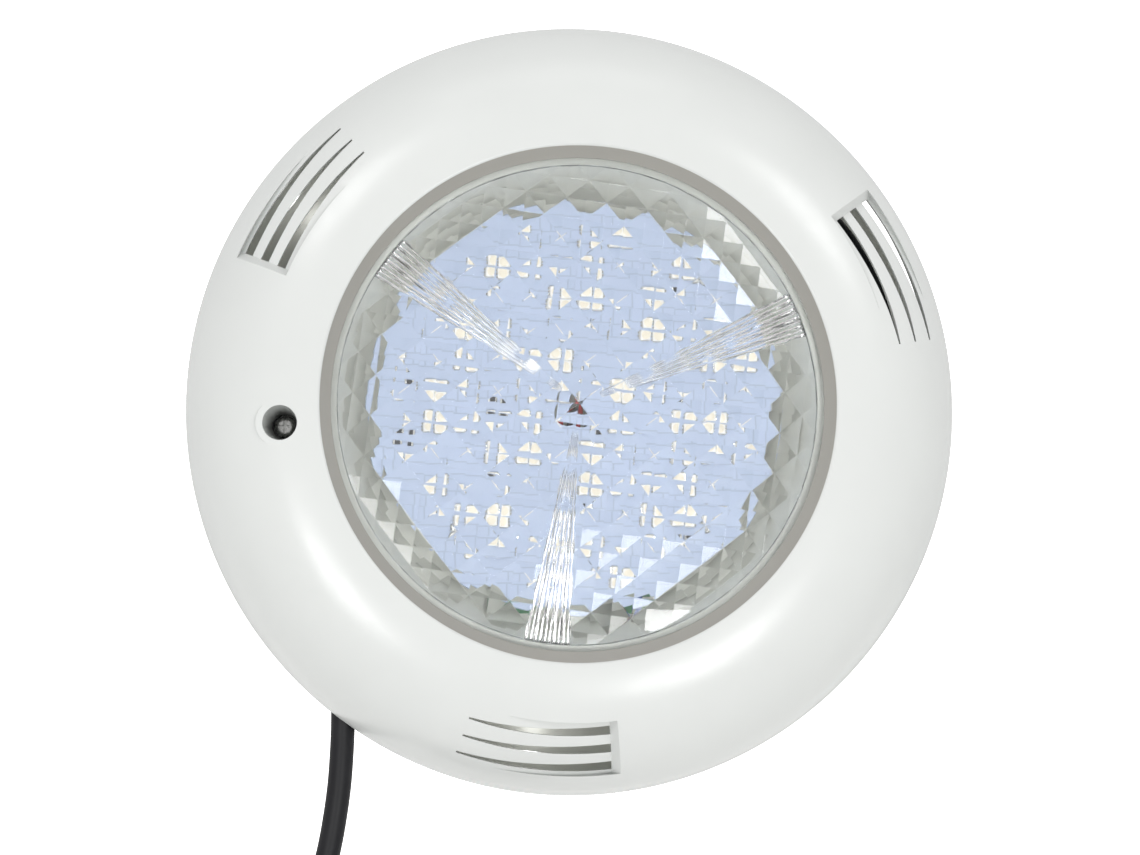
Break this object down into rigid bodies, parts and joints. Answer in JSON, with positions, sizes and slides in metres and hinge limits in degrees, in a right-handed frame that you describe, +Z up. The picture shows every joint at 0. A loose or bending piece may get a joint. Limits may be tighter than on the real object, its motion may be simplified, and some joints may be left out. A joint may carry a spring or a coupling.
{
  "type": "underwater pool light",
  "caption": "Round surface-mounted underwater light: vented domed face ring, clear prismatic lens, sealed LED lamp, cable gland, rubber cable and wall bracket.",
  "frame": {"origin": "centre of the wall bracket's flat back face, on the lamp's axis", "axes": "-Y out of the wall along the lamp's axis, towards the viewer; +X to the viewer's right; +Z up"},
  "size_m": [0.29, 0.0548, 0.488],
  "materials": {
    "white_plastic": "smooth glossy white moulded ABS",
    "inner_plastic": "satin off-white moulded ABS",
    "clear_plastic": "clear moulded polycarbonate",
    "clear_silicone": "milky translucent silicone",
    "black_rubber": "satin black rubber",
    "stainless_steel": "machined stainless steel",
    "brass": "turned brass",
    "aluminium": "plain sheet",
    "board_blue": "lacquered aluminium circuit board",
    "board_green": "lacquered glass-fibre board",
    "ferrite": "ferrite drum core",
    "capacitor_sleeve": "shrunk dark sleeve on a can",
    "chip_black": "moulded package",
    "fuse_block": "moulded block",
    "terminal_green": "moulded terminal block",
    "core_brown": "brown core insulation",
    "core_blue": "blue core insulation",
    "lead_red": "red lead insulation",
    "lead_black": "black lead insulation",
    "gland_black": "satin black nylon",
    "tie_black": "nylon cable tie",
    "ferrule_tin": "tinned copper end sleeve"
  },
  "bodies": {
    "wall_mount": {"wall_bracket": "inner_plastic", "lock_insert": "brass"},
    "lamp": {"board_screw_1": "stainless_steel", "board_screw_2": "stainless_steel", "board_screw_3": "stainless_steel", "board_screw_4": "stainless_steel", "cable": "black_rubber", "cable_clip_1": "inner_plastic", "cable_clip_2": "inner_plastic", "cable_clip_3": "inner_plastic", "cable_coil": "black_rubber", "cable_entry": "black_rubber", "cable_sleeve": "black_rubber", "cable_tail": "black_rubber", "capacitor_1": "capacitor_sleeve", "capacitor_2": "capacitor_sleeve", "clip_screw_1": "stainless_steel", "clip_screw_2": "stainless_steel", "clip_screw_3": "stainless_steel", "coil_tie_1": "tie_black", "coil_tie_2": "tie_black", "core_blue": "core_blue", "core_brown": "core_brown", "driver_board": "board_green", "face_ring": "white_plastic", "ferrule_blue": "ferrule_tin", "ferrule_brown": "ferrule_tin", "fuse": "fuse_block", "gland_body": "gland_black", "gland_nut": "gland_black", "gland_seal": "black_rubber", "gland_washer": "black_rubber", "heat_spreader": "aluminium", "inductor": "ferrite", "lamp_housing": "inner_plastic", "led_board": "board_blue", "led_lead_black": "lead_black", "led_lead_red": "lead_red", "lens": "clear_plastic", "lens_gasket": "clear_silicone", "lens_screw_1": "stainless_steel", "lens_screw_2": "stainless_steel", "lens_screw_3": "stainless_steel", "lens_screw_4": "stainless_steel", "lens_screw_5": "stainless_steel", "lens_screw_6": "stainless_steel", "rectifier": "chip_black", "retaining_clip_1": "inner_plastic", "retaining_clip_2": "inner_plastic", "retaining_clip_3": "inner_plastic", "supply_live": "core_brown", "supply_neutral": "core_blue", "terminal_block": "terminal_green"},
    "lock_seal": {"lock_washer": "black_rubber"},
    "lock": {"lock_screw": "stainless_steel"}
  },
  "joints": [
    {"name": "lamp_pull_off", "type": "slide", "parent": "wall_mount", "child": "lamp", "axis": [0, -1, 0], "range_m": [0, 0.07]},
    {"name": "lock_travel", "type": "slide", "parent": "lamp", "child": "lock_seal", "axis": [0, -1, 0], "range_m": [0, 0.012]},
    {"name": "lock_turn", "type": "hinge", "parent": "lock_seal", "child": "lock", "pos_m": [-0.10724, -0.019, -0.0075], "axis": [0, -1, 0], "range_deg": [0, 4320]}
  ],
  "couplings": [
    {"joint": "lock_turn", "follows": "lock_travel", "rad_per_m": 6283.2}
  ]
}
